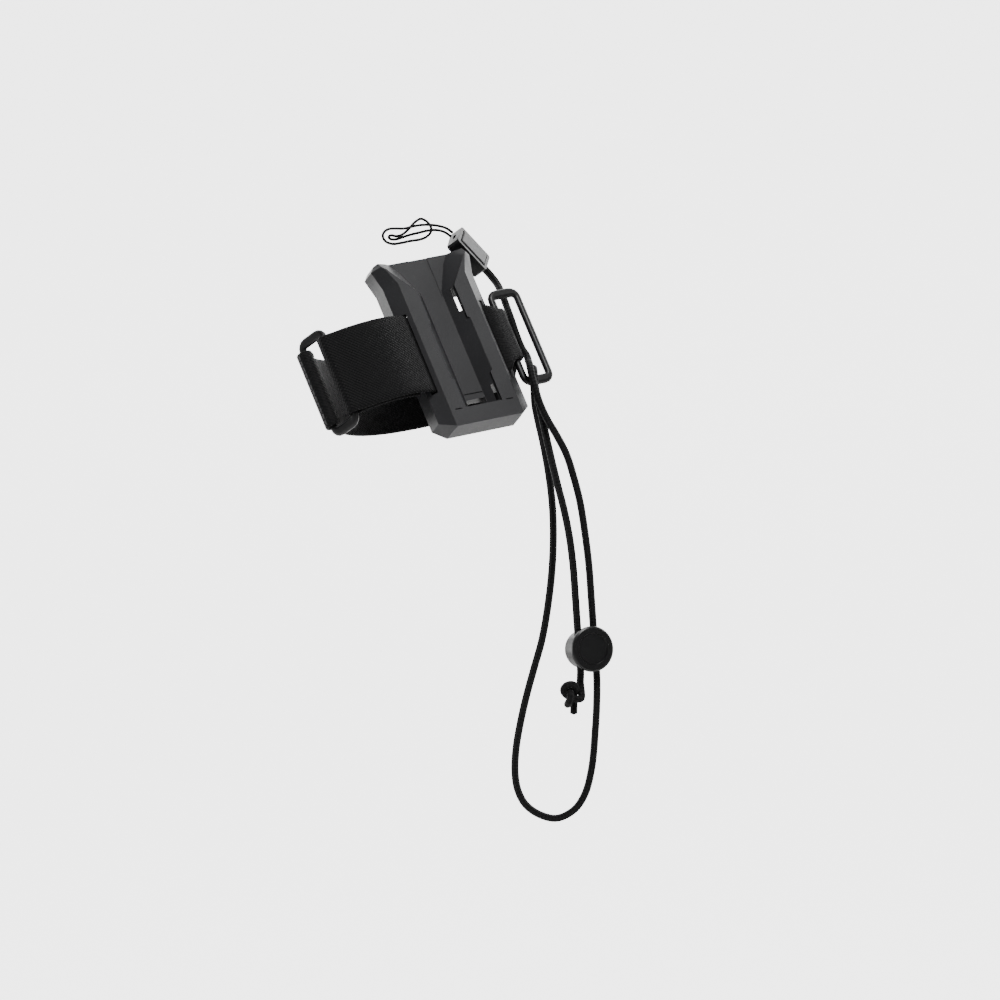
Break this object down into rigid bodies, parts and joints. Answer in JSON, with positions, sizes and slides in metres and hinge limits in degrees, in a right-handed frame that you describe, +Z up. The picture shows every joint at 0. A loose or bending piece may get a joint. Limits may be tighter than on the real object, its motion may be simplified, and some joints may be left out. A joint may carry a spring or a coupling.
{
  "type": "backpack strap device cradle",
  "caption": "Moulded clip-in cradle on wide webbing with rectangular rings, with a cord tether, a sliding cord lock and a thin lanyard loop for a handheld device.",
  "frame": {"origin": "middle of the cradle's flat back face", "axes": "as worn: +X to the viewer's right, +Y towards the wearer's chest, +Z up; the cradle leans back 26.4 degrees and rolls 11.7 degrees"},
  "size_m": [0.1317, 0.0702, 0.2667],
  "materials": {
    "moulded_plastic": "fine moulded texture, satin",
    "moulded_plastic_cover": "fine moulded texture, satin",
    "ring_plastic": "smooth moulded, satin",
    "black_webbing": "woven nylon webbing with a brushed loop face",
    "hook_tape": "hook tape",
    "braided_cord": "braided nylon cord",
    "plated_steel": "zinc plated"
  },
  "bodies": {
    "cradle": {"cradle_shell": "moulded_plastic", "back_cover": "moulded_plastic_cover", "cover_screw_1": "plated_steel", "cover_screw_2": "plated_steel", "cover_screw_3": "plated_steel", "cover_screw_4": "plated_steel", "strap_webbing": "black_webbing", "hook_tab": "hook_tape", "left_ring": "ring_plastic", "tether_cord_loop": "braided_cord", "tether_cord_tail": "braided_cord", "tether_knot": "braided_cord"},
    "right_ring": {"right_ring": "ring_plastic", "tether_cord_upper": "braided_cord", "tether_cord_turn": "braided_cord", "connector_body": "ring_plastic", "connector_cover": "moulded_plastic", "tether_stop": "braided_cord", "lanyard_stop": "braided_cord", "lanyard_cord": "braided_cord"},
    "cord_lock": {"lock_barrel": "ring_plastic", "lock_spring": "plated_steel"},
    "lock_button": {"lock_plunger": "ring_plastic"}
  },
  "joints": [
    {"name": "right_ring_swivel", "type": "hinge", "parent": "cradle", "child": "right_ring", "pos_m": [0.02605, -0.00477, 0.00839], "axis": [-0.2028, 0.4354, 0.8771], "range_deg": [-40, 2]},
    {"name": "cord_lock_slide", "type": "slide", "parent": "cradle", "child": "cord_lock", "axis": [-0.0634, 0.029, 0.9976], "range_m": [-0.002, 0.02]},
    {"name": "lock_button_press", "type": "slide", "parent": "cord_lock", "child": "lock_button", "axis": [0.0009, 0.9996, -0.029], "range_m": [0, 0.0016], "stiffness_N_per_m": 1200, "springref_m": -0.003}
  ]
}
